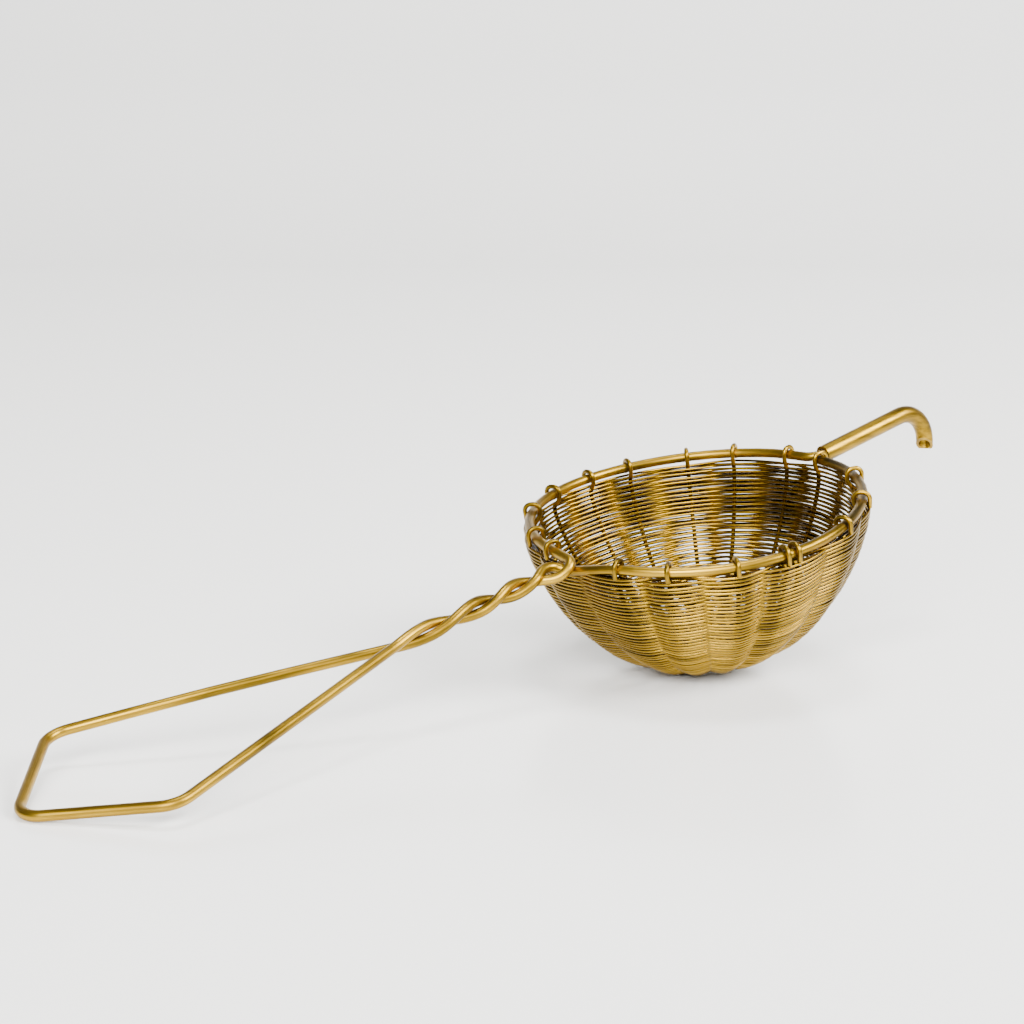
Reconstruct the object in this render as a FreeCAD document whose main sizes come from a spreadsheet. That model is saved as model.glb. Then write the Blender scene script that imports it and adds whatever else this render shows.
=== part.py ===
"""Hand-woven brass tea strainer: bowl of woven wire, rim, twisted wire handle and cup hook.

Millimetres. Every piece is laid out in the rim's own frame (rim plane level, X from the handle to
the hook, Z up through the bowl) and then tipped together into the resting pose, where the strainer
sits on its round base and the end of its handle. The origin is the centre of the footprint, on
the table, with +X towards the hook and +Z up.
"""
import FreeCAD, Part
import math
import os

import Sketcher

Vector = FreeCAD.Vector

doc = FreeCAD.newDocument("tea_strainer")

# ---------------------------------------------------------------- driving dimensions
SIZES = [
    ("frame_wire_dia", 2.0, "wire of the rim, twist and handle"),
    ("stake_wire_dia", 0.95, "upright wires of the basket"),
    ("weave_wire_dia", 0.55, "wire woven round the stakes"),
    ("rim_radius", 34.0, "rim centreline, before it was bent out of round"),
    ("rim_shift", 0.6, "rim off the basket's axis"),
    ("rim_shift_turn", 27.0, "degrees from the hook to where the rim is shifted"),
    ("rim_oval", 0.4, "out of round, long and short ways"),
    ("rim_oval_turn", 33.0, "degrees from the hook to the long way"),
    ("rim_wave", 0.7, "rise and dip of the rim out of its plane"),
    ("rim_wave_turn", -25.0, "degrees from the hook to the first rise"),
    ("basket_radius", 34.5, "stake centreline at the rim plane"),
    ("basket_depth", 31.87, "stake centreline at the middle of the base"),
    ("basket_side_power", 0.787, "below 1: fuller sides than an ellipse"),
    ("basket_base_power", 1.382, "above 1: steeper towards the base than an ellipse"),
    ("wall_inside_gap", 0.55, "stake centreline to the wall's inner face"),
    ("wall_top_drop", 3.1, "top of the wall below the rim plane"),
    ("hub_half_length", 3.0, "straight run of a stake either side of the middle"),
    ("hub_spacing", 1.0, "between neighbouring stakes at the crossing"),
    ("stake_rim_gap", 0.13, "stake to rim wire"),
    ("stake_tail_drop", 1.6, "stake end below the rim centreline"),
    ("twist_radius", 1.12, "strand centreline from the twist axis"),
    ("twist_start_x", 34.5, "start of the twist, from the basket's axis"),
    ("twist_start_drop", 1.35, "twist axis below the rim plane at the rim"),
    ("twist_end_x", 79.0, "where the two strands part, from the basket's axis"),
    ("twist_end_drop", 4.0, "below the rim plane where the strands part"),
    ("loop_left_x", 136.0, "wide corner of the handle loop, left side"),
    ("loop_left_side", 21.0, "left corner from the handle axis"),
    ("loop_left_drop", 4.7, "left corner below the rim plane"),
    ("loop_right_x", 133.5, "wide corner of the handle loop, right side"),
    ("loop_right_side", 20.5, "right corner from the handle axis"),
    ("loop_right_drop", 5.7, "right corner below the rim plane"),
    ("loop_tip_x", 153.4, "pointed end of the handle loop"),
    ("loop_tip_side", 1.5, "tip off the handle axis"),
    ("loop_tip_drop", 6.2, "tip below the rim plane"),
    ("leg_bow_drop", 3.5, "middle of the left leg below the rim plane, bowed up a little"),
    ("loop_bend", 5.0, "bend radius of the loop's corners"),
    ("tube_dia", 3.7, "outside of the hook tube"),
    ("tube_bore", 2.5, "inside of the hook tube"),
    ("tube_start_x", 37.2, "mouth of the tube next to the rim"),
    ("tube_straight", 23.6, "straight run of the hook tube"),
    ("tube_bend", 7.2, "centreline radius of the hook"),
    ("tube_turn", 99.0, "degrees the hook turns down"),
    ("tube_tip", 2.2, "straight end after the bend"),
    ("tube_rise", 4.5, "degrees the tube climbs from the rim plane"),
    ("mouth_cut", 46.0, "degrees the open end is cut off square"),
    ("mouth_back", 1.3, "cut centre back from the end"),
    ("mouth_turn", 35.0, "degrees the slanted mouth is turned to the strainer's right side"),
    ("wire_in_tube", 9.0, "rim wire pushed into the tube"),
    ("rest_tilt", 9.93, "degrees the rim leans towards the handle"),
    ("rest_roll", 2.0, "degrees the strainer leans to its right side"),
    ("rim_height", 33.265, "rim centre above the table"),
    ("bowl_x", 39.48, "bowl axis from the middle of the footprint"),
    ("bowl_y", -0.44, "bowl axis from the middle of the footprint"),
]

sheet = doc.addObject("Spreadsheet::Sheet", "sizes")
for row, (alias, value, note) in enumerate(SIZES, start=1):
    sheet.set("A%d" % row, alias)
    sheet.set("B%d" % row, "%g" % value)
    sheet.set("C%d" % row, note)
    sheet.setAlias("B%d" % row, alias)
doc.recompute()


def size(alias):
    """The value of a cell of the sheet."""
    return float(sheet.get(alias))


def polar(radius, degrees, height):
    angle = math.radians(degrees)
    return Vector(radius * math.cos(angle), radius * math.sin(angle), height)


# ---------------------------------------------------------------- resting pose
towards_handle = FreeCAD.Rotation(Vector(0, 1, 0), -size("rest_tilt"))
to_one_side = FreeCAD.Rotation(Vector(1, 0, 0), size("rest_roll"))
bowl_centre = Vector(size("bowl_x"), size("bowl_y"), size("rim_height"))
RESTING = FreeCAD.Placement(bowl_centre, towards_handle * to_one_side)


# ---------------------------------------------------------------- bent wire
def bent_path(points, bends):
    """Straight runs joined by tangent arcs.

    bends gives a point's own bend radius by its index; every other point is rounded as far as
    its two runs allow.
    """
    edges = []
    start = points[0]
    for i in range(1, len(points) - 1):
        before = points[i] - points[i - 1]
        after = points[i + 1] - points[i]
        turn = before.getAngle(after)
        if turn < math.radians(0.3):
            continue
        half = math.tan(turn / 2)
        reach = 0.47 * min(before.Length, after.Length)
        if i in bends:
            reach = min(reach, bends[i] * half)
        radius = reach / half
        ahead = Vector(before).normalize()
        beyond = Vector(after).normalize()
        first = points[i] - ahead * reach
        last = points[i] + beyond * reach
        inward = (beyond - ahead).normalize()
        middle = points[i] + inward * (radius / math.cos(turn / 2) - radius)
        edges.append(Part.LineSegment(start, first).toShape())
        edges.append(Part.Arc(first, middle, last).toShape())
        start = last
    edges.append(Part.LineSegment(start, points[-1]).toShape())
    return Part.Wire(edges)


def wire_piece(name, points, bends, diameter_cell):
    """A round wire swept along a bent path, as a Part::Sweep of a circle bound to the sheet."""
    path = doc.addObject("Part::Feature", name + "_path")
    path.Shape = bent_path(points, bends)
    section = doc.addObject("Part::Circle", name + "_section")
    section.setExpression("Radius", "sizes.%s / 2" % diameter_cell)
    facing = FreeCAD.Rotation(Vector(0, 0, 1), points[1] - points[0])
    section.Placement = FreeCAD.Placement(points[0], facing)
    sweep = doc.addObject("Part::Sweep", name)
    sweep.Label = name
    sweep.Sections = [section]
    sweep.Spine = (path, ["Edge%d" % (k + 1) for k in range(len(path.Shape.Edges))])
    sweep.Solid = True
    sweep.Frenet = False
    sweep.Placement = RESTING
    return sweep


# ---------------------------------------------------------------- rim
def rim_radius(degrees):
    """Rim centreline from the basket's axis: nearly round, shifted a little and slightly oval."""
    shift = size("rim_shift") * math.cos(math.radians(degrees - size("rim_shift_turn")))
    oval = size("rim_oval") * math.cos(2 * math.radians(degrees - size("rim_oval_turn")))
    return size("rim_radius") + shift + oval


def rim_lift(degrees):
    """The hand-bent rim rises and dips a little twice round."""
    return size("rim_wave") * math.cos(2 * math.radians(degrees - size("rim_wave_turn")))


def rim_point(degrees):
    return polar(rim_radius(degrees), degrees, rim_lift(degrees))


RIM_STEP = 12


def rim_corner(degrees):
    """Where the straights either side of a bend meet, so that the bent rim keeps its radius."""
    outside = rim_radius(degrees) / math.cos(math.radians(RIM_STEP / 2))
    return polar(outside, degrees, rim_lift(degrees))


# ---------------------------------------------------------------- frame wire
# One length of wire: from inside the hook tube, round the far half of the rim, out along the twist
# as strand one, round the handle loop, back as strand two and round the near half of the rim.
AXIS_START = Vector(-size("twist_start_x"), 0, -size("twist_start_drop"))
AXIS_END = Vector(-size("twist_end_x"), 0, -size("twist_end_drop"))
TWIST_AXIS = (AXIS_END - AXIS_START).normalize()
ACROSS = Vector(0, 1, 0)
UPRIGHT = TWIST_AXIS.cross(ACROSS).normalize() * -1
# Strand two's turn round the axis, in degrees, at distances along it in millimetres. The twist is
# tight beside the rim and opens out towards the handle loop.
TWIST_STATIONS = [(7.5, 152), (12.1, 242), (16.7, 332), (21.2, 422), (27.2, 512), (33.2, 602)]
TWIST_STATIONS += [(41.1, 692)]


def strand(distance, degrees):
    angle = math.radians(degrees)
    offset = ACROSS * math.cos(angle) + UPRIGHT * math.sin(angle)
    return AXIS_START + TWIST_AXIS * distance + offset * size("twist_radius")


def twist(phase):
    """Points of one strand from the rim outwards, three steps between stations."""
    points = []
    for (near, near_turn), (far, far_turn) in zip(TWIST_STATIONS, TWIST_STATIONS[1:]):
        for step in range(3):
            part = step / 3
            distance = near + (far - near) * part
            points.append(strand(distance, near_turn + (far_turn - near_turn) * part + phase))
    points.append(strand(TWIST_STATIONS[-1][0], TWIST_STATIONS[-1][1] + phase))
    return points


tube_axis = polar(1, 0, math.tan(math.radians(size("tube_rise"))))
rim_hook_corner = rim_point(0)


def on_tube_axis(x):
    return rim_hook_corner + tube_axis * (x - rim_hook_corner.x)


frame_points = [on_tube_axis(size("tube_start_x") + size("wire_in_tube")), rim_hook_corner]
frame_points += [rim_corner(RIM_STEP * k) for k in range(1, 15)]
# Strand one swings past the handle axis and doubles back outwards in a wide open curve.
frame_points += [Vector(-34.1, -2.8, 0.1), Vector(-37.8, -2.8, -2.1)]
frame_points += twist(180)
left_corner = Vector(-size("loop_left_x"), size("loop_left_side"), -size("loop_left_drop"))
right_corner = Vector(-size("loop_right_x"), -size("loop_right_side"), -size("loop_right_drop"))
loop_tip = Vector(-size("loop_tip_x"), -size("loop_tip_side"), -size("loop_tip_drop"))
loop_start = len(frame_points)
left_leg_bow = Vector(-size("loop_left_x") + 27, size("loop_left_side") / 2 + 0.2, -size("leg_bow_drop"))
frame_points += [right_corner, loop_tip, left_corner, left_leg_bow]
frame_points += list(reversed(twist(0)))
# Strand two dives under strand one and comes back up into the rim.
frame_points += [Vector(-39.2, 0.7, -0.5), Vector(-36.4, 1.1, -0.9)]
frame_points += [Vector(-33.9, -1.4, -2.2), Vector(-33.3, -6.6, -1.0)]
frame_points += [rim_corner(202 + RIM_STEP * k) for k in range(0, 13)]
frame_points += [rim_point(359.2)]
loop_bends = {loop_start + k: size("loop_bend") for k in range(3)}
frame_wire = wire_piece("frame_wire", frame_points, loop_bends, "frame_wire_dia")


# ---------------------------------------------------------------- hook tube
# A brass tube over the rim wire's end, bent down into a hook that catches on a cup's rim.
hook = doc.addObject("PartDesign::Body", "hook_tube")
hook.Label = "hook_tube"


def origin_plane(body, role):
    for feature in body.Origin.OriginFeatures:
        if feature.Role == role:
            return feature
    raise ValueError("no origin plane " + role)


def sketch_on(body, name, role):
    sketch = body.newObject("Sketcher::SketchObject", name)
    sketch.AttachmentSupport = [(origin_plane(body, role), "")]
    sketch.MapMode = "FlatFace"
    return sketch


ring = sketch_on(hook, "hook_section", "YZ_Plane")
for cell in ("tube_dia", "tube_bore"):
    circle = ring.addGeometry(Part.Circle(Vector(0, 0, 0), Vector(0, 0, 1), size(cell) / 2), False)
    ring.addConstraint(Sketcher.Constraint("Coincident", circle, 3, -1, 1))
    index = ring.addConstraint(Sketcher.Constraint("Diameter", circle, size(cell)))
    ring.setExpression("Constraints[%d]" % index, "sizes." + cell)

run = size("tube_straight")
bend = size("tube_bend")
turn = math.radians(size("tube_turn"))
centre = Vector(run, -bend, 0)
bend_end = centre + Vector(bend * math.sin(turn), bend * math.cos(turn), 0)
tip_end = bend_end + Vector(math.cos(turn), -math.sin(turn), 0) * size("tube_tip")
spine = sketch_on(hook, "hook_spine", "XZ_Plane")
spine.addGeometry(Part.LineSegment(Vector(0, 0, 0), Vector(run, 0, 0)), False)
arc_circle = Part.Circle(centre, Vector(0, 0, 1), bend)
spine.addGeometry(Part.ArcOfCircle(arc_circle, math.pi / 2 - turn, math.pi / 2), False)
spine.addGeometry(Part.LineSegment(bend_end, tip_end), False)
spine.addConstraint(Sketcher.Constraint("Coincident", 0, 1, -1, 1))
spine.addConstraint(Sketcher.Constraint("Horizontal", 0))
spine.addConstraint(Sketcher.Constraint("Tangent", 0, 2, 1, 2))
spine.addConstraint(Sketcher.Constraint("Tangent", 1, 1, 2, 1))
TUBE_RUNS = ((0, "Distance", "tube_straight"), (1, "Radius", "tube_bend"), (2, "Distance", "tube_tip"))
for geometry, kind, cell in TUBE_RUNS:
    index = spine.addConstraint(Sketcher.Constraint(kind, geometry, size(cell)))
    spine.setExpression("Constraints[%d]" % index, "sizes." + cell)
doc.recompute()

pipe = hook.newObject("PartDesign::AdditivePipe", "hook_pipe")
pipe.Profile = ring
pipe.Spine = (spine, ["Edge1", "Edge2", "Edge3"])
doc.recompute()

# The open end is cut on a slant that faces back along the handle and a little to the right.
slant = turn + math.radians(size("mouth_cut"))
cut_along = Vector(math.sin(slant), math.cos(slant), 0)
cut_away = Vector(math.cos(slant), -math.sin(slant), 0)
end_axis = Vector(math.cos(turn), -math.sin(turn), 0)
cut_from = tip_end - end_axis * size("mouth_back")
mouth = sketch_on(hook, "hook_mouth", "XZ_Plane")
corners = [cut_from - cut_along * 6, cut_from + cut_along * 4, cut_from + cut_along * 4 + cut_away * 6]
corners.append(cut_from - cut_along * 6 + cut_away * 6)
mouth.AttachmentOffset = FreeCAD.Placement(
    Vector(0, 0, 0), FreeCAD.Rotation(end_axis, -size("mouth_turn")), tip_end
)
for k in range(4):
    mouth.addGeometry(Part.LineSegment(corners[k], corners[(k + 1) % 4]), False)
for k in range(4):
    mouth.addConstraint(Sketcher.Constraint("Coincident", k, 2, (k + 1) % 4, 1))
cut = hook.newObject("PartDesign::Pocket", "hook_cut")
cut.Profile = mouth
cut.Type = 0
cut.Length = 8
cut.setExpression("Length", "sizes.tube_dia * 2")
cut.Midplane = True
hook.Placement = RESTING * FreeCAD.Placement(
    on_tube_axis(size("tube_start_x")), FreeCAD.Rotation(Vector(0, 1, 0), -size("tube_rise"))
)


# ---------------------------------------------------------------- basket profile
def basket_point(slope):
    """Radius and height of a stake's centreline; slope runs from 0 at the rim to 90 at the base."""
    angle = math.radians(slope)
    radius = size("basket_radius") * max(math.cos(angle), 0.0) ** size("basket_side_power")
    height = -size("basket_depth") * math.sin(angle) ** size("basket_base_power")
    return radius, height


def basket_offset(slope, gap):
    """The same, moved outwards by a gap square to the profile."""
    radius, height = basket_point(slope)
    near_radius, near_height = basket_point(slope - 0.5)
    far_radius, far_height = basket_point(slope + 0.5)
    along = Vector(far_radius - near_radius, 0, far_height - near_height).normalize()
    return Vector(radius - along.z * gap, 0, height + along.x * gap)


# ---------------------------------------------------------------- stakes
# Nine wires cross at the base, five one way under four the other, fan out, climb the basket and
# end over the rim. Two ends share one rib, so the weave passes an odd number of ribs.
# Each stake: the angle of its two ends round the rim, and how far each end loop stands above it.
STAKES = {
    "stake_wire_1": ((219, 0.0), (309, 0.2)),
    "stake_wire_2": ((202, 0.1), (333, 0.2)),
    "stake_wire_3": ((172, 0.2), (357, 0.0)),
    "stake_wire_4": ((158, 0.5), (12, 0.0)),
    "stake_wire_5": ((130, 0.2), (33, 0.1)),
    "stake_wire_6": ((109, 0.1), (241, 0.0)),
    "stake_wire_7": ((89, 0.0), (258, 0.2)),
    "stake_wire_8": ((72, 0.0), (262, 0.1)),
    "stake_wire_9": ((50, 0.0), (287, 0.2)),
}
# The two ends that share a rib are set this much to either side of it, so they do not touch.
SHARED_RIB = {258: -0.2, 262: 0.2}
LOWER_LAYER = (176.0, 5)
UPPER_LAYER = (81.0, 4)


def stake_end(degrees, rise):
    """Points of one stake from the free end, over the rim and down the basket to the base."""
    wire = size("frame_wire_dia") / 2 + size("stake_wire_dia") / 2 + size("stake_rim_gap")
    rim = rim_radius(degrees)
    lift = rim_lift(degrees)
    top = lift + wire + rise
    points = [
        polar(rim + wire - 0.2, degrees, lift - size("stake_tail_drop")),
        polar(rim + wire + 0.05, degrees, top),
        polar(rim - wire, degrees, top),
        polar(rim - wire - 0.05, degrees, lift - 0.9),
        polar(basket_point(12)[0], degrees, lift - 2.75),
    ]
    for slope in (15, 24, 34, 45, 57, 69, 78):
        radius, height = basket_point(slope)
        aside = math.degrees(SHARED_RIB.get(degrees, 0.0) / radius)
        points.append(polar(radius, degrees + aside, height))
    return points


def stake_points(ends, direction, offset, height):
    """The whole stake, crossing the base parallel to its layer at its own offset."""
    along = polar(1, direction, 0)
    aside = polar(1, direction + 90, 0)
    half = size("hub_half_length")
    floor = Vector(0, 0, height)
    first = stake_end(*ends[0])
    second = stake_end(*ends[1])
    crossing = [floor + along * half + aside * offset, floor - along * half + aside * offset]
    return first + crossing + list(reversed(second))


names = list(STAKES)
layers = [(names[:5], LOWER_LAYER, 0.0), (names[5:], UPPER_LAYER, size("stake_wire_dia") + 0.06)]
stakes = []
for layer_names, (direction, count), lift in layers:
    for k, name in enumerate(layer_names):
        offset = ((count - 1) / 2 - k) * size("hub_spacing")
        height = -size("basket_depth") + lift
        points = stake_points(STAKES[name], direction, offset, height)
        stakes.append(wire_piece(name, points, {}, "stake_wire_dia"))


# ---------------------------------------------------------------- woven wall
# The woven wire taken as one thin bowl that lies against the outside of the stakes.
WALL_SLOPES = (13, 18, 24, 31, 38, 46, 54, 62, 70, 77, 83)


def wall_curve(gap):
    """One face of the wall, from its top edge down to the middle of the base."""
    points = [basket_offset(slope, gap) for slope in WALL_SLOPES]
    rise = (points[0].z + size("wall_top_drop")) / (points[1].z - points[0].z)
    edge = points[0] + (points[0] - points[1]) * rise
    points.insert(0, edge)
    points.append(Vector(0, 0, -size("basket_depth") - gap))
    curve = Part.BSplineCurve()
    curve.interpolate(points, InitialTangent=points[1] - points[0], FinalTangent=Vector(-1, 0, 0))
    return curve.toShape(), edge, points[-1]


outer, outer_edge, outer_base = wall_curve(size("stake_wire_dia") / 2 + size("weave_wire_dia"))
inner, inner_edge, inner_base = wall_curve(size("wall_inside_gap"))
profile = doc.addObject("Part::Feature", "wall_profile")
profile.Shape = Part.Face(Part.Wire([
    outer,
    Part.makeLine(outer_base, inner_base),
    inner,
    Part.makeLine(inner_edge, outer_edge),
]))
wall = doc.addObject("Part::Revolution", "woven_wall")
wall.Label = "woven_wall"
wall.Source = profile
wall.Axis = Vector(0, 0, 1)
wall.Angle = 360
wall.Solid = True
wall.Placement = RESTING

# ---------------------------------------------------------------- check and write
doc.recompute()
for item in doc.Objects:
    if "Invalid" in item.State or "Error" in item.State:
        raise RuntimeError("%s: %s" % (item.Name, item.State))

pieces = [frame_wire, hook] + stakes + [wall]
os.makedirs("parts", exist_ok=True)
for piece in pieces:
    shape = piece.Shape
    if shape.isNull() or not shape.isValid() or len(shape.Solids) != 1:
        raise RuntimeError("bad shape: " + piece.Label)
    shape.exportStep(os.path.join("parts", piece.Label + ".step"))
    box = shape.BoundBox
    print("%-14s %8.1f mm3  x %7.2f %7.2f  y %7.2f %7.2f  z %7.2f %7.2f" % (
        piece.Label, shape.Volume, box.XMin, box.XMax, box.YMin, box.YMax, box.ZMin, box.ZMax
    ))
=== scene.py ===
import math
import random

import bpy
import numpy as np
from mathutils import Matrix, Vector


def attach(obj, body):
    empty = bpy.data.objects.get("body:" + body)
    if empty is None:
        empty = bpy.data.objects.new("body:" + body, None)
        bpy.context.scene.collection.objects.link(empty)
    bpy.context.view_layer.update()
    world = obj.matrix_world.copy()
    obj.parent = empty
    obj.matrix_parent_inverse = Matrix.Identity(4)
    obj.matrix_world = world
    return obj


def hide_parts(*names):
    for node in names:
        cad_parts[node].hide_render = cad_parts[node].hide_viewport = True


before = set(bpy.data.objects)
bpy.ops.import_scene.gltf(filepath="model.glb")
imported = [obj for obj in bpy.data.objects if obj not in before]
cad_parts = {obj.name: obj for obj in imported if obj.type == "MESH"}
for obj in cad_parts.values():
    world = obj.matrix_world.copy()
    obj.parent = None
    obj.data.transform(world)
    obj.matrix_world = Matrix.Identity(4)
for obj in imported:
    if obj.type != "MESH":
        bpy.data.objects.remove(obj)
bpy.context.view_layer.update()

# The strainer's wires are drawn in the rim's own frame, in millimetres: the rim is level, +X runs from
# the handle to the hook, +Y is the left side and +Z is up, out of the bowl. Angles are in degrees, round
# from the hook. RESTING tips all of it onto the table, in metres.
MM = 0.001
RIM_CENTRE = Vector((39.48, -0.44, 33.265))
REST_TILT = 9.93
REST_ROLL = 2.0
RESTING = (
    Matrix.Translation(RIM_CENTRE * MM)
    @ Matrix.Rotation(math.radians(-REST_TILT), 4, "Y")
    @ Matrix.Rotation(math.radians(REST_ROLL), 4, "X")
    @ Matrix.Scale(MM, 4)
)

# ---------------------------------------------------------------- driving dimensions
FRAME_WIRE = 2.0
STAKE_WIRE = 0.95
WEFT_WIRE = 0.55
RIM_RADIUS = 34.0
RIM_SHIFT, RIM_SHIFT_TOWARDS = 0.6, 27
RIM_OVAL, RIM_OVAL_TOWARDS = 0.4, 33
RIM_WAVE, RIM_WAVE_TOWARDS = 0.7, -25
RIM_STEP = 12
BASKET_RADIUS = 34.5
BASKET_DEPTH = 31.87
RADIUS_POWER = 0.787
HEIGHT_POWER = 1.382

rng = random.Random(7)


def polar(radius, degrees, height):
    angle = math.radians(degrees)
    return Vector((radius * math.cos(angle), radius * math.sin(angle), height))


def rim_radius(degrees):
    """The rim was bent a little off the basket's axis and a little out of round."""
    shift = RIM_SHIFT * math.cos(math.radians(degrees - RIM_SHIFT_TOWARDS))
    oval = RIM_OVAL * math.cos(2 * math.radians(degrees - RIM_OVAL_TOWARDS))
    return RIM_RADIUS + shift + oval


def rim_lift(degrees):
    """The rim rises and dips out of its plane twice in a round."""
    return RIM_WAVE * math.cos(2 * math.radians(degrees - RIM_WAVE_TOWARDS))


def rim_point(degrees):
    return polar(rim_radius(degrees), degrees, rim_lift(degrees))


def rim_corner(degrees):
    """A corner of the rim's route, a little outside the rim: rounding it brings the wire back in."""
    outside = rim_radius(degrees) / math.cos(math.radians(RIM_STEP / 2))
    return polar(outside, degrees, rim_lift(degrees))


def basket_point(slope):
    """Radius and height of a stake's centreline; slope runs from 0 at the rim to 90 at the base."""
    angle = math.radians(slope)
    radius = BASKET_RADIUS * max(math.cos(angle), 0.0) ** RADIUS_POWER
    height = -BASKET_DEPTH * math.sin(angle) ** HEIGHT_POWER
    return radius, height


# ---------------------------------------------------------------- wires along a path
SMALLEST_TURN = math.radians(0.3)
SHARE_OF_RUN = 0.47
ARC_STEP = 6
NEARLY_UPRIGHT = 0.1


def rounded(points, bends, straight_step):
    """The path as dense points: straight runs joined by tangent arcs, as the wire is bent.

    bends caps the radius at some points. Elsewhere an arc is as large as its two runs allow.
    """
    dense = [points[0]]

    def straight_to(end):
        start = dense[-1]
        steps = max(1, int((end - start).length / straight_step))
        for k in range(1, steps + 1):
            dense.append(start.lerp(end, k / steps))

    for i in range(1, len(points) - 1):
        before = points[i] - points[i - 1]
        after = points[i + 1] - points[i]
        turn = before.angle(after)
        if turn < SMALLEST_TURN:
            continue
        half = math.tan(turn / 2)
        reach = SHARE_OF_RUN * min(before.length, after.length)
        if i in bends:
            reach = min(reach, bends[i] * half)
        radius = reach / half
        ahead = before.normalized()
        beyond = after.normalized()
        first = points[i] - ahead * reach
        straight_to(first)
        inward = (beyond - ahead).normalized()
        centre = points[i] + inward * (radius / math.cos(turn / 2))
        across = first - centre
        axis = ahead.cross(beyond).normalized()
        steps = max(2, int(math.degrees(turn) / ARC_STEP))
        for k in range(1, steps + 1):
            dense.append(centre + Matrix.Rotation(turn * k / steps, 3, axis) @ across)
    straight_to(points[-1])
    return dense


def frames_along(points):
    """Tangent, side and up vectors at each point, carried along without twisting."""
    path = np.array([tuple(p) for p in points])
    tangent = np.gradient(path, axis=0)
    tangent /= np.linalg.norm(tangent, axis=1)[:, None]
    side = np.zeros_like(path)
    start = np.cross(tangent[0], (0, 0, 1))
    if np.linalg.norm(start) < NEARLY_UPRIGHT:
        start = np.cross(tangent[0], (0, 1, 0))
    side[0] = start / np.linalg.norm(start)
    for k in range(1, len(path)):
        carried = side[k - 1] - tangent[k] * side[k - 1].dot(tangent[k])
        side[k] = carried / np.linalg.norm(carried)
    return path, side, np.cross(tangent, side)


def mesh_object(name, verts, faces, wire_co, painted_shade):
    """A smooth object at rest on the table, with the two attributes that its brass reads."""
    mesh = bpy.data.meshes.new(name)
    mesh.from_pydata(verts, [], faces)
    mesh.transform(RESTING)
    mesh.shade_smooth()
    layer = mesh.attributes.new("wire_co", "FLOAT_VECTOR", "POINT")
    layer.data.foreach_set("vector", np.asarray(wire_co, np.float32).ravel())
    # Per-vertex amount of painted shade, which the brass material darkens by.
    layer = mesh.attributes.new("painted_shade", "FLOAT", "POINT")
    layer.data.foreach_set("value", np.asarray(painted_shade, np.float32))
    obj = bpy.data.objects.new(name, mesh)
    bpy.context.scene.collection.objects.link(obj)
    return obj


def no_painted_shade(centres, verts):
    """No painted shade anywhere on the wire."""
    return np.zeros(len(verts))


# Share of the wire's radius at its very end and just behind it, and how far back that is.
END_RINGS = ((0.55, 0.0), (0.9, 0.45), (1.0, 1.0))


def wire_mesh(name, points, radius, sides, end_round=0.35, painted_shade_for=no_painted_shade):
    """A round wire with its sheared ends rounded over, by end_round of its radius.

    Each vertex carries its place along and across the wire, and how much painted shade darkens it.
    """
    path, side, up = frames_along(points)
    length = np.concatenate([[0], np.cumsum(np.linalg.norm(np.diff(path, axis=0), axis=1))])
    rings = []
    head = path[0] - path[1]
    head /= np.linalg.norm(head)
    tail = path[-1] - path[-2]
    tail /= np.linalg.norm(tail)
    for share, back in END_RINGS:
        centre = path[0] - head * (back * end_round) * radius
        rings.append((centre, side[0], up[0], share, length[0]))
    body = range(1, len(path) - 1)
    rings += [(path[k], side[k], up[k], 1.0, length[k]) for k in body]
    for share, back in reversed(END_RINGS):
        centre = path[-1] - tail * (back * end_round) * radius
        rings.append((centre, side[-1], up[-1], share, length[-1]))
    turn = np.linspace(0, 2 * math.pi, sides, endpoint=False)
    cos, sin = np.cos(turn)[:, None], np.sin(turn)[:, None]
    verts, wire_co, faces = [], [], []
    for centre, s, u, share, along in rings:
        verts.append(centre + (s * cos + u * sin) * radius * share)
        wire_co.append(np.hstack([np.full((sides, 1), along), cos * radius, sin * radius]))
    verts = np.vstack(verts)
    wire_co = np.vstack(wire_co)
    for k in range(len(rings) - 1):
        base = k * sides
        for j in range(sides):
            n = (j + 1) % sides
            faces.append((base + j, base + n, base + sides + n, base + sides + j))
    faces.append(tuple(reversed(range(sides))))
    last = (len(rings) - 1) * sides
    faces.append(tuple(last + j for j in range(sides)))
    centres = np.repeat(np.array([ring[0] for ring in rings]), sides, axis=0)
    return mesh_object(name, [tuple(v) for v in verts], faces, wire_co, painted_shade_for(centres, verts))


# ---------------------------------------------------------------- frame wire
# One length of wire: from inside the hook tube round the left half of the rim, out along the twist, round
# the handle loop, back along the twist and round the right half of the rim.
AXIS_START = Vector((-34.5, 0, -1.35))
AXIS_END = Vector((-79.0, 0, -4.0))
TWIST_AXIS = (AXIS_END - AXIS_START).normalized()
ACROSS = Vector((0, 1, 0))
UPRIGHT = -TWIST_AXIS.cross(ACROSS).normalized()
TWIST_RADIUS = 1.12
# Each quarter turn of the twist: its distance out along the axis, and the degrees turned by there.
TWIST_STATIONS = (
    (7.5, 152),
    (12.1, 242),
    (16.7, 332),
    (21.2, 422),
    (27.2, 512),
    (33.2, 602),
    (41.1, 692),
)
STEPS_PER_QUARTER = 3
TUBE_RISE = 4.5
WIRE_END_IN_TUBE = 46.2
LAST_LEFT_CORNER = 14
FIRST_RIGHT_CORNER = 202
RIGHT_CORNERS = 13
RIM_WIRE_END = 359.2
LOOP_BEND = 5.0


def strand(distance, degrees):
    """A point on a strand's centreline, so far out along the twist and so far round it."""
    angle = math.radians(degrees)
    offset = ACROSS * math.cos(angle) + UPRIGHT * math.sin(angle)
    return AXIS_START + TWIST_AXIS * distance + offset * TWIST_RADIUS


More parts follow.
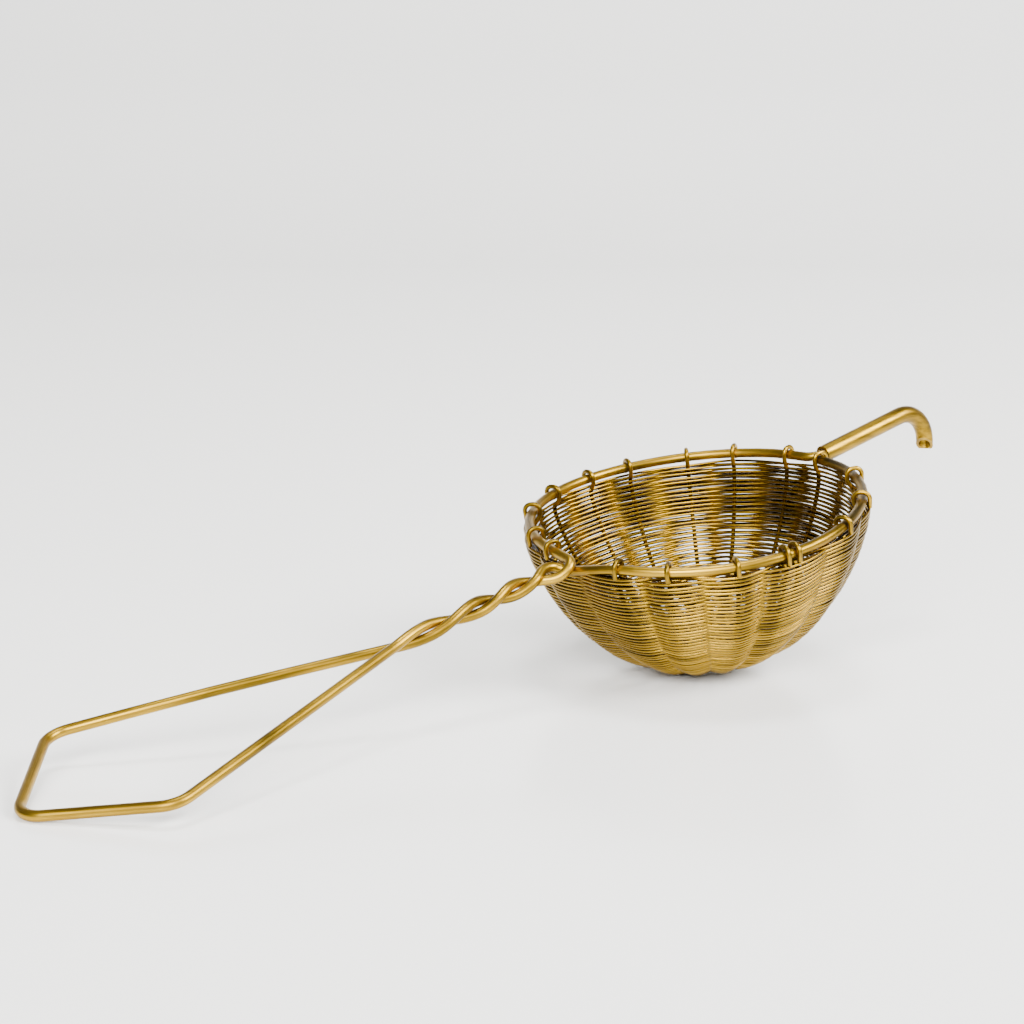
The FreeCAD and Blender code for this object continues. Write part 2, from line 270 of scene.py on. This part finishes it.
def twist(phase):
    """One of the two strands of the twist, from the rim outwards."""
    points = []
    for (near, near_turn), (far, far_turn) in zip(TWIST_STATIONS, TWIST_STATIONS[1:]):
        for step in range(STEPS_PER_QUARTER):
            part = step / STEPS_PER_QUARTER
            distance = near + (far - near) * part
            degrees = near_turn + (far_turn - near_turn) * part + phase
            points.append(strand(distance, degrees))
    last, last_turn = TWIST_STATIONS[-1]
    points.append(strand(last, last_turn + phase))
    return points


tube_axis = polar(1, 0, math.tan(math.radians(TUBE_RISE)))
rim_hook_corner = rim_point(0)


def on_tube_axis(x):
    """The straight run into the hook tube, which rises a little from the rim."""
    return rim_hook_corner + tube_axis * (x - rim_hook_corner.x)


LEFT_HALF_TO_TWIST = [Vector((-34.1, -2.8, 0.1)), Vector((-37.8, -2.8, -2.1))]
LOOP_CORNERS = [Vector((-133.5, -20.5, -5.7)), Vector((-153.4, -1.5, -6.2)), Vector((-136.0, 21.0, -4.7))]
BOW_IN_LEFT_LEG = Vector((-109.0, 10.7, -3.5))
TWIST_TO_RIGHT_HALF = [
    Vector((-39.2, 0.7, -0.5)),
    Vector((-36.4, 1.1, -0.9)),
    Vector((-33.9, -1.4, -2.2)),
    Vector((-33.3, -6.6, -1.0)),
]

frame_points = [on_tube_axis(WIRE_END_IN_TUBE), rim_hook_corner]
frame_points += [rim_corner(RIM_STEP * k) for k in range(1, LAST_LEFT_CORNER + 1)]
frame_points += LEFT_HALF_TO_TWIST
frame_points += twist(180)
loop_start = len(frame_points)
frame_points += LOOP_CORNERS
frame_points.append(BOW_IN_LEFT_LEG)
frame_points += reversed(twist(0))
frame_points += TWIST_TO_RIGHT_HALF
frame_points += [rim_corner(FIRST_RIGHT_CORNER + RIM_STEP * k) for k in range(RIGHT_CORNERS)]
frame_points.append(rim_point(RIM_WIRE_END))
loop_bends = {loop_start + k: LOOP_BEND for k in range(len(LOOP_CORNERS))}
frame_path = rounded(frame_points, loop_bends, straight_step=1.0)
frame_wire = wire_mesh("bent_frame_wire", frame_path, FRAME_WIRE / 2, sides=24, end_round=0.5)

# ---------------------------------------------------------------- stakes
# Each stake runs from one loop over the rim to another: how far round the rim the loop is, and by how
# much it stands higher above the rim wire than the closest fit.
STAKES = {
    "stake_wire_1": ((219, 0.0), (309, 0.2)),
    "stake_wire_2": ((202, 0.1), (333, 0.2)),
    "stake_wire_3": ((172, 0.2), (357, 0.0)),
    "stake_wire_4": ((158, 0.5), (12, 0.0)),
    "stake_wire_5": ((130, 0.2), (33, 0.1)),
    "stake_wire_6": ((109, 0.1), (241, 0.0)),
    "stake_wire_7": ((89, 0.0), (258, 0.2)),
    "stake_wire_8": ((72, 0.0), (262, 0.1)),
    "stake_wire_9": ((50, 0.0), (287, 0.2)),
}
# Two stake ends make one rib. Each is set aside by so much, so that they keep clear of each other.
SHARED_RIB = {258: -0.2, 262: 0.2}
STAKE_SLOPES = (15, 24, 34, 45, 57, 69, 78)
RIM_GAP = 0.13
CUT_END_DROP = 1.6
CUT_END_TUCK = 0.2
LOOP_FLARE = 0.05
INNER_DROP = 0.9
FIRST_SLOPE = 12
FIRST_DROP = 2.75
HUB_REACH = 3.0
UPPER_LAYER_GAP = 0.06
# Painted shade on the stakes behind the weaving: it starts this far below the rim plane and fades in over
# this distance, in mm.
PAINTED_SHADE_FROM = -2.0
PAINTED_SHADE_FADE = 1.5


def rib_point(degrees, slope):
    """A point on a stake's centreline, down the side of the basket."""
    radius, height = basket_point(slope)
    aside = math.degrees(SHARED_RIB.get(degrees, 0.0) / radius)
    return polar(radius, degrees + aside, height)


def stake_end(degrees, rise):
    """Half a stake's route: its cut end outside the rim, over the rim wire, then down the basket."""
    clear = FRAME_WIRE / 2 + STAKE_WIRE / 2 + RIM_GAP
    rim = rim_radius(degrees)
    lift = rim_lift(degrees)
    top = lift + clear + rise
    points = [
        polar(rim + clear - CUT_END_TUCK, degrees, lift - CUT_END_DROP),
        polar(rim + clear + LOOP_FLARE, degrees, top),
        polar(rim - clear, degrees, top),
        polar(rim - clear - LOOP_FLARE, degrees, lift - INNER_DROP),
        polar(basket_point(FIRST_SLOPE)[0], degrees, lift - FIRST_DROP),
    ]
    return points + [rib_point(degrees, slope) for slope in STAKE_SLOPES]


def painted_shade_behind_weave(centres, verts):
    """Painted shade: a stake is darkened once it runs down behind the weaving, where it lies in shadow."""
    return np.clip((PAINTED_SHADE_FROM - verts[:, 2]) / PAINTED_SHADE_FADE, 0, 1)


# At the base the first five stakes lie side by side, and the other four cross on top of them.
names = list(STAKES)
LAYERS = (
    (names[:5], 176.0, 0.0),
    (names[5:], 81.0, STAKE_WIRE + UPPER_LAYER_GAP),
)
hub_ends = {}
stakes = []
for layer, direction, lift in LAYERS:
    for k, name in enumerate(layer):
        offset = (len(layer) - 1) / 2 - k
        centre = polar(offset, direction + 90, -BASKET_DEPTH + lift)
        along = polar(HUB_REACH, direction, 0)
        first, second = STAKES[name]
        hub_ends[first[0]] = centre + along
        hub_ends[second[0]] = centre - along
        points = stake_end(*first) + [centre + along, centre - along] + stake_end(*second)[::-1]
        path = rounded(points, {}, straight_step=0.8)
        upright = wire_mesh("upright_" + name[-1], path, STAKE_WIRE / 2, sides=14, painted_shade_for=painted_shade_behind_weave)
        stakes.append((name, upright))

# ---------------------------------------------------------------- the woven wire
RIBS = [(degrees,) for degrees in hub_ends if degrees not in SHARED_RIB]
RIBS.append(tuple(SHARED_RIB))
RIBS.sort()
FINE_SLOPES = np.linspace(0, 90, 361)
PROFILE = np.array([basket_point(slope) for slope in FINE_SLOPES])
DOWN = np.concatenate([[0], np.cumsum(np.hypot(*np.diff(PROFILE, axis=0).T))])
LAST_SLOPE_DOWN = float(np.interp(STAKE_SLOPES[-1], FINE_SLOPES, DOWN))
HUB_RADIUS = 5.6
ROW_PITCH = 0.49
TOP_ROW_DROP = 1.3
CLOSING_UP = 0.12
ROOT_DIP = 2.0
ROOT_TOWARDS = 182
ROOT_HALF_WIDTH = 10
ROW_SLANT = 0.04
ROW_UNEVEN = 0.05
SLOW_SWAY = 0.30
QUICK_SWAY = 0.12
LEAST_STAND, MOST_STAND = -0.03, 0.04
PROFILE_STRIDE = 6
FULL_STANDOFF = 0.7
# Painted shade on the woven wire: its share where the wire passes outside a rib, and how much more it
# grows with the wire's distance off the rib.
SHADE_OUTSIDE_RIB = 0.4
SHADE_OFF_RIB = 0.5


def down_at_height(height):
    """How far down the basket a height is, measured along a rib from the rim plane."""
    return float(np.interp(-height, -PROFILE[:, 1], DOWN))


def rib_at(degrees, down):
    """A rib's centre, down the basket from the rim plane, and the outward direction there."""
    slope = float(np.interp(down, DOWN, FINE_SLOPES))
    radius, height = basket_point(slope)
    near, far = basket_point(max(slope - 1, 0)), basket_point(min(slope + 1, 90))
    away = polar(near[1] - far[1], degrees, far[0] - near[0]).normalized()
    if down <= LAST_SLOPE_DOWN:
        return rib_point(degrees, slope), away
    edge = rib_point(degrees, STAKE_SLOPES[-1])
    hub = hub_ends[degrees]
    part = (down - LAST_SLOPE_DOWN) / (edge - hub).length
    return edge.lerp(hub, part), away


def top_down(degrees):
    """Where the topmost row runs: close under the rim wire, lower at the handle's root."""
    root = ROOT_DIP * math.exp(-((degrees - ROOT_TOWARDS) / ROOT_HALF_WIDTH) ** 2)
    return down_at_height(rim_lift(degrees) - FRAME_WIRE / 2 - WEFT_WIRE / 2 - root)


HUB_DOWN = LAST_SLOPE_DOWN + basket_point(STAKE_SLOPES[-1])[0] - HUB_RADIUS


def weft_knots():
    """Where the wire passes the ribs, alternately outside and inside, with its heading there.

    The rows start round the crossing at the base and close up a little towards the rim.
    """
    turns = round((HUB_DOWN - TOP_ROW_DROP) / ROW_PITCH)
    knots = []
    crossing = 0
    for turn in range(turns):
        slant = rng.gauss(0, ROW_SLANT)
        for position, rib in enumerate(RIBS):
            side = 1 if crossing % 2 == 0 else -1
            crossing += 1
            part = (turn + position / len(RIBS)) / turns
            climb = part * (1 + CLOSING_UP - CLOSING_UP * part)
            uneven = rng.gauss(0, ROW_UNEVEN) + slant * math.sin(math.radians(rib[0] * 2))
            for degrees in rib:
                angle = math.radians(degrees)
                slow = SLOW_SWAY * math.sin(2 * angle + 7 * part)
                quick = QUICK_SWAY * math.sin(5 * angle - 11 * part)
                sway = math.sin(math.pi * part) * (slow + quick)
                down = HUB_DOWN + (top_down(degrees) - HUB_DOWN) * climb + uneven + sway
                centre, away = rib_at(degrees, down)
                stand = (STAKE_WIRE + WEFT_WIRE) / 2 + rng.uniform(LEAST_STAND, MOST_STAND)
                knots.append((centre + away * side * stand, polar(1, degrees + 90, 0)))
    return knots


def woven_path(knots, steps=9, pull=0.92):
    """The wire between its knots: it bends round each rib and runs nearly straight to the next."""
    dense = []
    for (a, heading_a), (b, heading_b) in zip(knots, knots[1:]):
        reach = pull * (b - a).length
        for k in range(steps):
            t = k / steps
            rise = t * t * (3 - 2 * t)
            leave = t * (1 - t) ** 2 * reach
            arrive = t * t * (1 - t) * reach
            dense.append(a.lerp(b, rise) + heading_a * leave - heading_b * arrive)
    dense.append(knots[-1][0])
    return dense


def painted_shade_facing_ribs(centres, verts):
    """Painted shade: the woven wire is darkened where its surface is turned in towards a rib it passes, in
    the crevice's shade.

    standoff is how far the wire's centre is outside the ribs' centres, square to the basket's profile.
    Where the wire passes outside a rib, less shade is painted on it.
    """
    stride = PROFILE_STRIDE
    flat = np.hypot(centres[:, 0], centres[:, 1])
    gap = np.hypot(flat[:, None] - PROFILE[::stride, 0], centres[:, 2:3] - PROFILE[::stride, 1])
    nearest = np.clip(gap.argmin(axis=1) * stride, stride, len(PROFILE) - stride - 1)
    run = PROFILE[nearest + stride] - PROFILE[nearest - stride]
    run /= np.linalg.norm(run, axis=1)[:, None]
    out_flat, out_up = -run[:, 1], run[:, 0]
    standoff = (flat - PROFILE[nearest, 0]) * out_flat + (centres[:, 2] - PROFILE[nearest, 1]) * out_up
    turned = (np.hypot(verts[:, 0], verts[:, 1]) - flat) * out_flat
    turned += (verts[:, 2] - centres[:, 2]) * out_up
    inward = -standoff * turned / (FULL_STANDOFF * WEFT_WIRE / 2)
    cover = np.where(standoff > 0, SHADE_OUTSIDE_RIB, 1.0)
    return np.clip(cover * inward + SHADE_OFF_RIB * np.abs(standoff), 0, 1)


weft_path = woven_path(weft_knots())
weft = wire_mesh("weft_wire", weft_path, WEFT_WIRE / 2, sides=8, painted_shade_for=painted_shade_facing_ribs)


# ---------------------------------------------------------------- materials
def material(name):
    """A new material and its one shader."""
    finish = bpy.data.materials.new(name)
    finish.use_nodes = True
    return finish, finish.node_tree.nodes["Principled BSDF"]


def noise(tree, vector, scale, detail, rough=0.55):
    node = tree.nodes.new("ShaderNodeTexNoise")
    node.inputs["Scale"].default_value = scale
    node.inputs["Detail"].default_value = detail
    node.inputs["Roughness"].default_value = rough
    tree.links.new(vector, node.inputs["Vector"])
    return node.outputs["Fac"]


def stretched(tree, vector, scale):
    node = tree.nodes.new("ShaderNodeMapping")
    node.inputs["Scale"].default_value = scale
    tree.links.new(vector, node.inputs["Vector"])
    return node.outputs["Vector"]


def ramp(tree, factor, stops):
    node = tree.nodes.new("ShaderNodeValToRGB")
    elements = node.color_ramp.elements
    while len(elements) < len(stops):
        elements.new(0.5)
    for element, (position, colour) in zip(elements, stops):
        element.position = position
        element.color = (*colour, 1)
    tree.links.new(factor, node.inputs["Fac"])
    return node.outputs["Color"]


def spread(tree, factor, low, high):
    """The middle of a noise's range, spread from low to high."""
    node = tree.nodes.new("ShaderNodeMapRange")
    node.inputs["To Min"].default_value = low
    node.inputs["To Max"].default_value = high
    node.inputs["From Min"].default_value = 0.3
    node.inputs["From Max"].default_value = 0.7
    tree.links.new(factor, node.inputs["Value"])
    return node.outputs["Result"]


def darkened(tree, colour, cover, share):
    """A colour multiplied by another, by a share of the full effect."""
    node = tree.nodes.new("ShaderNodeMix")
    node.data_type = "RGBA"
    node.blend_type = "MULTIPLY"
    node.inputs["Factor"].default_value = share
    tree.links.new(colour, node.inputs["A"])
    tree.links.new(cover, node.inputs["B"])
    return node.outputs["Result"]


def bumped(tree, height, strength, distance):
    node = tree.nodes.new("ShaderNodeBump")
    node.inputs["Strength"].default_value = strength
    node.inputs["Distance"].default_value = distance
    tree.links.new(height, node.inputs["Height"])
    return node.outputs["Normal"]


BRIGHT = (0.43, 0.262, 0.02)
GOLD = (0.26, 0.155, 0.011)
DULL = (0.085, 0.055, 0.005)
UNDARKENED = (1, 1, 1)
BROWN_FILM = (0.55, 0.50, 0.42)
# Colour of the painted shade in crevices of the weave and on stakes behind it.
PAINTED_SHADE_COLOUR = (0.09, 0.07, 0.05)
MM_PER_METRE = (1000, 1000, 1000)


def brass(name, wire_space, patch_scale, streak, rough_low, rough_high, bump_mm):
    """Drawn brass, darkened with age: long patches of tone and fine lengthwise marks.

    A wire's patches and marks follow its length, and painted shade darkens it where it lies in shade. The
    tube's follow the X axis.
    """
    finish, shader = material(name)
    tree = finish.node_tree
    if wire_space:
        source = tree.nodes.new("ShaderNodeAttribute")
        source.attribute_name = "wire_co"
        vector = source.outputs["Vector"]
    else:
        source = tree.nodes.new("ShaderNodeTexCoord")
        vector = stretched(tree, source.outputs["Object"], MM_PER_METRE)
    patches = noise(tree, stretched(tree, vector, (patch_scale, 0.35, 0.35)), 1.0, 3)
    lines = noise(tree, stretched(tree, vector, (0.06, streak, streak)), 1.0, 4, 0.65)
    tone = ramp(tree, patches, [(0.32, DULL), (0.47, GOLD), (0.66, BRIGHT)])
    marks = ramp(tree, lines, [(0.30, BROWN_FILM), (0.55, UNDARKENED)])
    colour = darkened(tree, tone, marks, 0.75)
    if wire_space:
        # Painted shade: the colour is darkened where the wire's shade attribute is high.
        shade_attribute = tree.nodes.new("ShaderNodeAttribute")
        shade_attribute.attribute_name = "painted_shade"
        cover = ramp(tree, shade_attribute.outputs["Fac"], [(0.03, UNDARKENED), (0.55, PAINTED_SHADE_COLOUR)])
        colour = darkened(tree, colour, cover, 1.0)
    tree.links.new(colour, shader.inputs["Base Color"])
    shader.inputs["Metallic"].default_value = 1.0
    tree.links.new(spread(tree, lines, rough_high, rough_low), shader.inputs["Roughness"])
    tree.links.new(bumped(tree, lines, 0.5, bump_mm * MM), shader.inputs["Normal"])
    return finish


frame_brass = brass("frame_brass", True, 0.045, 3.0, 0.30, 0.44, 0.04)
stake_brass = brass("stake_brass", True, 0.08, 5.0, 0.28, 0.42, 0.03)
weave_brass = brass("weave_brass", True, 0.03, 8.0, 0.20, 0.33, 0.02)
tube_brass = brass("tube_brass", False, 0.06, 1.6, 0.28, 0.42, 0.04)

frame_wire.data.materials.append(frame_brass)
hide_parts("frame_wire")
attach(frame_wire, "root")
for name, stake in stakes:
    stake.data.materials.append(stake_brass)
    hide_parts(name)
    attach(stake, "root")
weft.data.materials.append(weave_brass)
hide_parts("woven_wall")
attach(weft, "root")
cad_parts["hook_tube"].material_slots[0].material = tube_brass

# ---------------------------------------------------------------- floor, light, camera
FLOOR_NEAR = -2.5
FLOOR_HALF_WIDTH = 3.0
FLOOR_TURN = -37.5
COVE_START = 0.9
COVE_RADIUS = 0.5
WALL_TOP = 0.75
PALE = (0.90, 0.90, 0.885, 1)


def coved_floor():
    """A table top that curves up into a low wall behind, in metres."""
    profile = [(FLOOR_NEAR, 0.0), (COVE_START, 0.0)]
    for degrees in range(6, 91, 6):
        angle = math.radians(degrees)
        far = COVE_START + COVE_RADIUS * math.sin(angle)
        profile.append((far, COVE_RADIUS - COVE_RADIUS * math.cos(angle)))
    profile.append((COVE_START + COVE_RADIUS, WALL_TOP))
    verts = []
    for far, high in profile:
        verts += [(-FLOOR_HALF_WIDTH, far, high), (FLOOR_HALF_WIDTH, far, high)]
    faces = [(2 * k, 2 * k + 1, 2 * k + 3, 2 * k + 2) for k in range(len(profile) - 1)]
    mesh = bpy.data.meshes.new("floor")
    mesh.from_pydata(verts, [], faces)
    mesh.shade_smooth()
    pale_table, shader = material("pale_table")
    shader.inputs["Base Color"].default_value = PALE
    shader.inputs["Roughness"].default_value = 0.22
    mesh.materials.append(pale_table)
    obj = bpy.data.objects.new("floor", mesh)
    obj.rotation_euler = (0, 0, math.radians(FLOOR_TURN))
    bpy.context.scene.collection.objects.link(obj)
    return obj


floor = coved_floor()

world = bpy.data.worlds.new("studio")
bpy.context.scene.world = world
world.use_nodes = True
background = world.node_tree.nodes["Background"]
background.inputs["Color"].default_value = (0.92, 0.94, 1.0, 1)
background.inputs["Strength"].default_value = 0.20


def area_light(name, place, target, size, power, colour):
    data = bpy.data.lights.new(name, "AREA")
    data.shape = "RECTANGLE"
    data.size, data.size_y = size
    data.energy = power
    data.color = colour
    lamp = bpy.data.objects.new(name, data)
    lamp.location = place
    lamp.rotation_euler = (Vector(target) - Vector(place)).to_track_quat("-Z", "Y").to_euler()
    bpy.context.scene.collection.objects.link(lamp)


DAYLIGHT = (1.0, 0.99, 0.97)
WHITE = (1.0, 1.0, 1.0)
BEHIND_THE_BOWL = (0.1, 0.1, 0.0)
area_light("left_window", (-1.05, -1.10, 0.95), BEHIND_THE_BOWL, (1.2, 0.8), 95, DAYLIGHT)
area_light("right_window", (0.75, -1.15, 1.05), BEHIND_THE_BOWL, (1.0, 0.8), 75, DAYLIGHT)
area_light("ceiling_bounce", (0.2, 0.2, 1.7), (0.2, 0.2, 0), (0.5, 0.5), 22, WHITE)

CAMERA_PLACE = (-0.25251, -0.31997, 0.12267)
CAMERA_AIM = Vector((0.59645, 0.77612, -0.20465))
camera_data = bpy.data.cameras.new("camera")
camera_data.sensor_width = 36.0
camera_data.lens = 76.57
camera = bpy.data.objects.new("camera", camera_data)
camera.location = CAMERA_PLACE
camera.rotation_euler = CAMERA_AIM.to_track_quat("-Z", "Y").to_euler()
bpy.context.scene.collection.objects.link(camera)
bpy.context.scene.camera = camera
